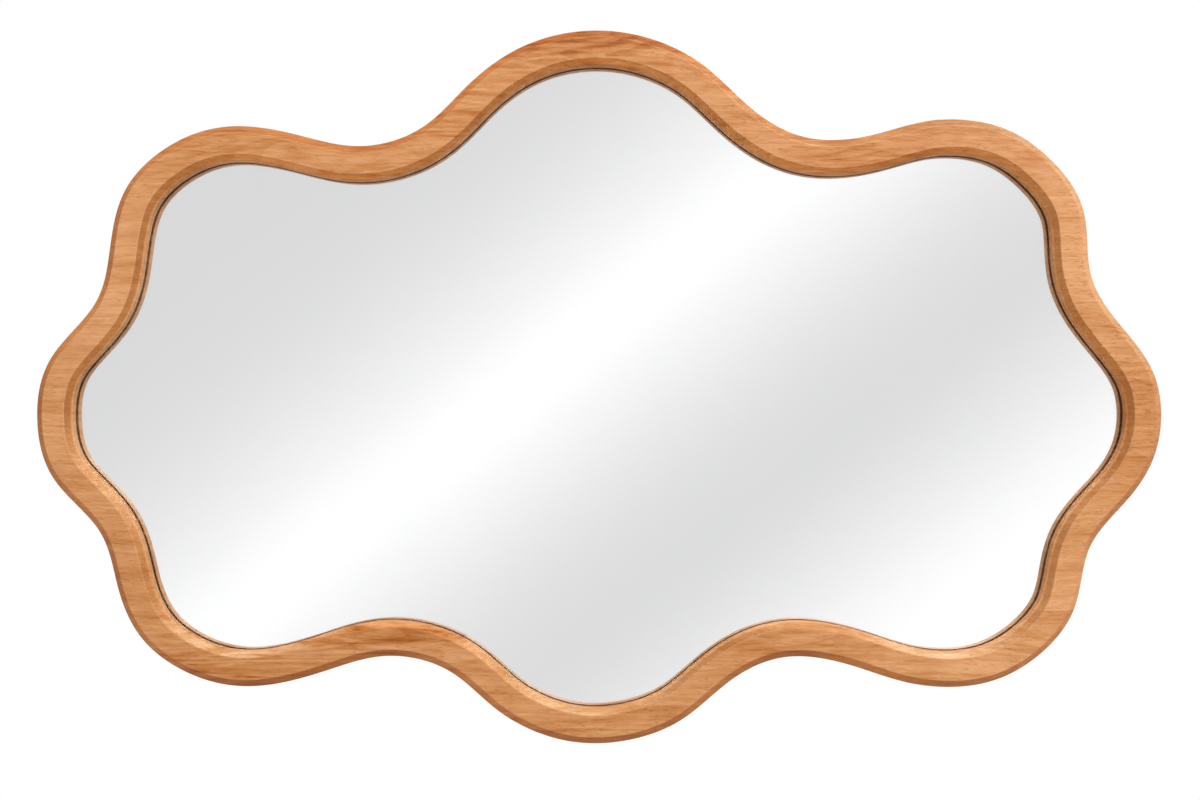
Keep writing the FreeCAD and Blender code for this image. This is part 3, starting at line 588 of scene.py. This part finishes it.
LOOKS = {
    "fibreboard": fibreboard(),
    "film": speckled("safety_film_grey", srgb(98, 106, 112), srgb(126, 134, 140), 0.32, 600.0, 0.00003),
    "foam": speckled("foam_strip_white", srgb(214, 214, 208), srgb(240, 240, 236), 0.85, 2600.0, 0.0002, 0.3),
    "tenon_wood": wood_material("tenon_wood", 1.15),
    "rubber": speckled("bumper_rubber", (0.012, 0.012, 0.013, 1), (0.030, 0.030, 0.031, 1), 0.62, 2200.0),
    "screw_steel": steel("screw_yellow_zinc", srgb(176, 152, 96), srgb(216, 200, 150), 0.30),
    "hanger_steel": steel("strap_zinc", srgb(176, 180, 184), srgb(216, 219, 222), 0.30, (240.0, 900.0, 60.0), 0.12),
    "ring_steel": steel("ring_zinc", srgb(188, 190, 194), srgb(224, 226, 228), 0.22, (1200.0, 1200.0, 1200.0)),
    "button_steel": steel("button_zinc", srgb(178, 182, 186), srgb(214, 217, 220), 0.34, (700.0, 900.0, 120.0), 0.12),
}
slots = {s["node"]: s["material_slot"] for s in frame["record"]["subparts"]}
for name, obj in frame["nodes"].items():
    look = LOOKS.get(slots.get(name))
    if look is not None:
        obj.data.materials.clear()
        obj.data.materials.append(look)

# ----------------------------------------------------------------------- stage
scene = bpy.context.scene
scene.view_settings.view_transform = "Standard"
scene.view_settings.look = "None"
scene.view_settings.exposure = 0.0
scene.view_settings.gamma = 1.0

world = bpy.data.worlds.new("studio")
scene.world = world
world.use_nodes = True
nt = world.node_tree
nt.nodes.clear()
direction = add(nt, "ShaderNodeTexCoord").outputs["Generated"]
xyz = add(nt, "ShaderNodeSeparateXYZ", {0: direction})
ahead = math_node(nt, "MAXIMUM", math_node(nt, "MULTIPLY", xyz.outputs[1], -1.0), 0.05)
u = math_node(nt, "DIVIDE", xyz.outputs[0], ahead)
v = math_node(nt, "DIVIDE", xyz.outputs[2], ahead)
# The studio wall in front of the glass: soft grey and white bands that run up to
# the right, seen only as a reflection. q counts across the bands, in pixels of
# the 1200 wide picture.
ANGLE = math.radians(39.0)
q = math_node(nt, "ADD", math_node(nt, "MULTIPLY", u, 1386.0 * math.sin(ANGLE)),
              math_node(nt, "MULTIPLY", v, -1386.0 * math.cos(ANGLE)))
q = math_node(nt, "ADD", q, 600.0 * math.sin(ANGLE) + 400.0 * math.cos(ANGLE))
q = remap(nt, q, 300.0, 1140.0)
# The ramp holds no value above 1, so its colours are kept low and raised after it.
GAIN, TOP = 1.072, 1.25


def band(value):
    return tuple(c * GAIN / TOP for c in srgb(value, value, value)[:3])


stops = [(300, 216), (350, 216.5), (430, 220), (500, 230), (565, 244), (610, 255), (640, 256),
         (680, 249), (740, 234), (800, 223), (865, 218), (919, 224), (988, 240), (1045, 253), (1095, 257)]
walls = ramp(nt, q, [((p - 300) / 840.0, band(c)) for p, c in stops], "B_SPLINE")
walls = mix_colour(nt, 1.0, walls, (TOP, TOP, TOP, 1.0), "MULTIPLY")
front = remap(nt, xyz.outputs[1], -0.84, -0.66, 1.0, 0.0, True)
side = math_node(nt, "ADD", math_node(nt, "MULTIPLY", xyz.outputs[0], 0.10), math_node(nt, "MULTIPLY", xyz.outputs[2], -0.05))
side = math_node(nt, "ADD", math_node(nt, "ADD", side, 0.80), math_node(nt, "MULTIPLY", math_node(nt, "MAXIMUM", xyz.outputs[1], 0.0), 0.2))
side = add(nt, "ShaderNodeCombineXYZ", {0: side, 1: side, 2: side}).outputs[0]
room = mix_colour(nt, front, side, walls)
path = add(nt, "ShaderNodeLightPath")
room = mix_colour(nt, path.outputs["Is Camera Ray"], room, (1.0, 1.0, 1.0, 1.0))
shade = add(nt, "ShaderNodeBackground", {"Color": room, "Strength": 1.0})
out = add(nt, "ShaderNodeOutputWorld")
nt.links.new(shade.outputs[0], out.inputs[0])


def area(name, at, target, size, power, colour=(1, 1, 1)):
    lamp = bpy.data.lights.new(name, "AREA")
    lamp.shape = "SQUARE"
    lamp.size = size
    lamp.energy = power
    lamp.color = colour
    ob = bpy.data.objects.new(name, lamp)
    scene.collection.objects.link(ob)
    ob.location = at
    ob.rotation_mode = "QUATERNION"
    ob.rotation_quaternion = (Vector(target) - Vector(at)).to_track_quat("-Z", "Y")
    return ob


middle = Vector((0.0, -0.02, -0.146))
key_dir = Vector((0.30, -0.70, 0.65)).normalized()
area("key", middle + key_dir * 4.0, middle, 1.6, 262.0)
back_dir = Vector((0.45, 0.75, 0.50)).normalized()
area("back_fill", middle + back_dir * 2.6, middle, 1.4, 45.0)

# Pale floor far below, a disc that fades out at its rim.
bm = bmesh.new()
hub = bm.verts.new((0, 0, -1.30))
rims = []
for r in (0.9, 1.6, 2.1, 2.55):
    rims.append([bm.verts.new((r * math.cos(2 * math.pi * k / 96), r * math.sin(2 * math.pi * k / 96), -1.30)) for k in range(96)])
for k in range(96):
    bm.faces.new((hub, rims[0][k], rims[0][(k + 1) % 96]))
    for a, b in zip(rims, rims[1:]):
        bm.faces.new((a[k], b[k], b[(k + 1) % 96], a[(k + 1) % 96]))
me = bpy.data.meshes.new("studio_floor")
bm.to_mesh(me)
bm.free()
floor = bpy.data.objects.new("studio_floor", me)
scene.collection.objects.link(floor)
m, nt, bsdf = new_material("floor_pale")
geo = add(nt, "ShaderNodeTexCoord").outputs["Object"]
radius = add(nt, "ShaderNodeVectorMath", {0: add(nt, "ShaderNodeVectorMath", {0: geo, 1: (1, 1, 0)}, operation="MULTIPLY").outputs[0]}, operation="LENGTH").outputs["Value"]
mottle = noise_of(nt, scaled(nt, geo, (4.0, 4.0, 4.0)), 1.0, 3.0, 0.5)
put(nt, bsdf, "Base Color", mix_colour(nt, remap(nt, mottle, 0.3, 0.7), (0.60, 0.60, 0.595, 1), (0.63, 0.63, 0.625, 1)))
bsdf.inputs["Roughness"].default_value = 0.8
put(nt, bsdf, "Alpha", remap(nt, radius, 1.5, 2.5, 1.0, 0.0, True))
me.materials.append(m)

# ---------------------------------------------------------------------- camera
cam = bpy.data.cameras.new("camera")
cam.sensor_width = 36.0
cam.sensor_fit = "HORIZONTAL"
cam.lens = 36.0 * 1386.0 / 1200.0
cam.clip_start, cam.clip_end = 0.02, 60.0
camera = bpy.data.objects.new("camera", cam)
scene.collection.objects.link(camera)
camera.location = (0.00086, -(6.0 + 21.2 + 1188.4) / 1000.0, -0.1573)
camera.rotation_euler = (math.pi / 2, 0.0, 0.0)
scene.camera = camera

bpy.context.view_layer.update()
